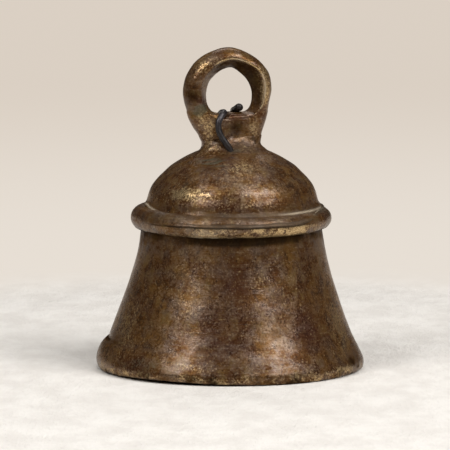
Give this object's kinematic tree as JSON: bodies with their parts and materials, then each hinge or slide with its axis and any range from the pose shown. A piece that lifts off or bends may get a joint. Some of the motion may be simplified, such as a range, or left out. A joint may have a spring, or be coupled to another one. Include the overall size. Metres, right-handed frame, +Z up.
{
  "type": "hand bell",
  "caption": "Small brass puja bell with a flared skirt, rolled shoulder bead, domed crown and thick hanging loop, with a clapper hung on a black iron wire.",
  "frame": {"origin": "middle of the rim, on the plane that the bell stands on", "axes": "+Z up through the crown, the loop's hole is looked through along Y, its broad side facing -Y turned 12 degrees"},
  "size_m": [0.0801, 0.08, 0.097],
  "materials": {
    "cast_brass": "old cast brass with a dark brown patina, worn to gold on edges",
    "solder": "dull pale brazing metal, rough and pitted",
    "black_iron": "blackened iron wire, satin",
    "clapper_brass": "cast brass, worn bright where it strikes"
  },
  "bodies": {
    "bell": {"bell_skirt": "cast_brass", "shoulder_bead": "cast_brass", "crown_dome": "cast_brass", "seam_solder": "solder", "suspension_loop": "cast_brass", "neck_braze": "solder", "hanger_wire": "black_iron"},
    "clapper_link": {"clapper_link": "black_iron"},
    "clapper": {"clapper_stem": "black_iron", "clapper_ball": "clapper_brass"}
  },
  "joints": [
    {"name": "link_swing", "type": "hinge", "parent": "bell", "child": "clapper_link", "pos_m": [0.0008, 0, 0.0576], "axis": [0, 1, 0], "range_deg": [-24, 24]},
    {"name": "clapper_rock", "type": "hinge", "parent": "clapper_link", "child": "clapper", "pos_m": [0.0008, 0, 0.05255], "axis": [1, 0, 0], "range_deg": [-12, 12]}
  ]
}
